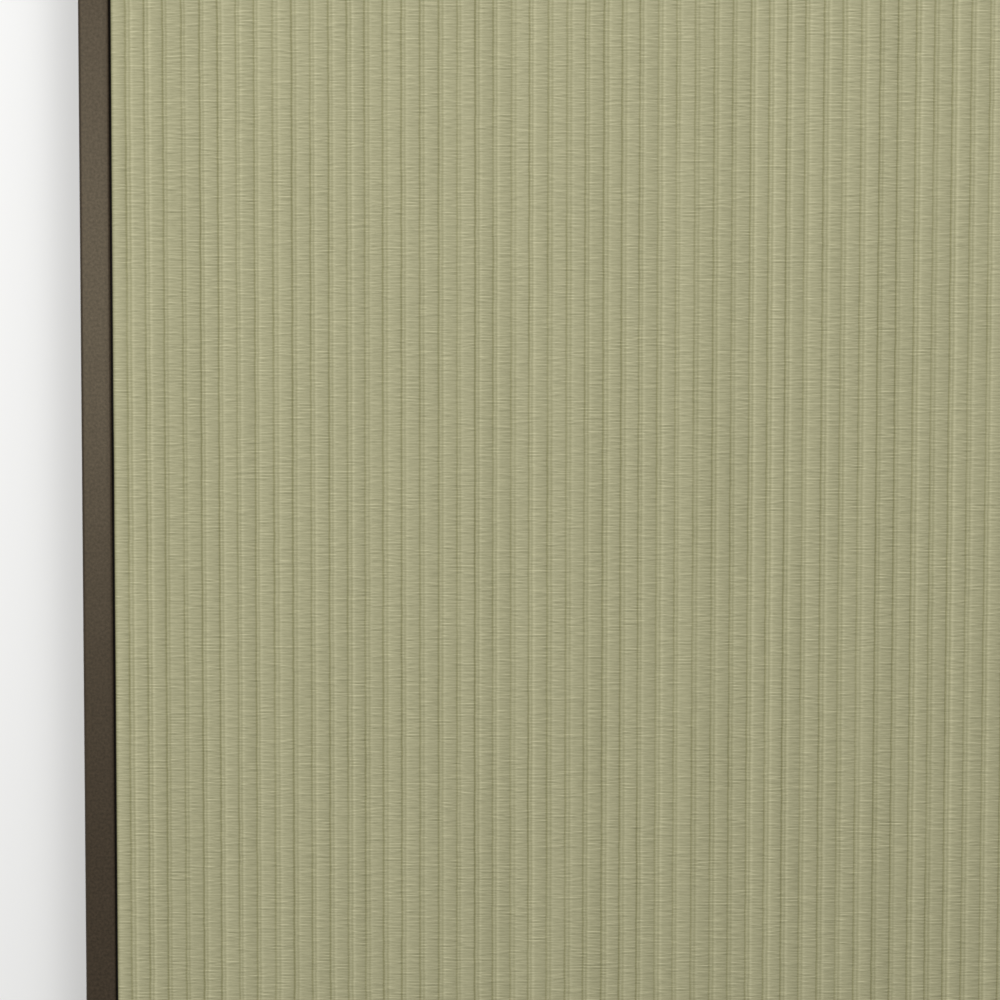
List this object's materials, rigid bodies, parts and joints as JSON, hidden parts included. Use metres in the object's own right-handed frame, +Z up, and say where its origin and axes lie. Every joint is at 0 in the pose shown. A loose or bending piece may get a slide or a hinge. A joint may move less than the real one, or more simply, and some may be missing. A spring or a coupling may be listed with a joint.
{
  "type": "tatami mat",
  "caption": "Thick flat floor mat with a ribbed rush-like woven face and a plain cloth border along each long edge.",
  "frame": {"origin": "on the floor, under the middle of the mat", "axes": "+X across the mat from border to border, +Y along it and its ribs, +Z up through the woven face"},
  "size_m": [0.88, 1.76, 0.055],
  "materials": {
    "woven_face": "matt green-beige rush-like weave, ribbed along the mat",
    "border_cloth": "plain dark brown cloth with a soft sheen"
  },
  "bodies": {
    "root": {"woven_mat": "woven_face", "border_left": "border_cloth", "border_right": "border_cloth"}
  },
  "joints": []
}
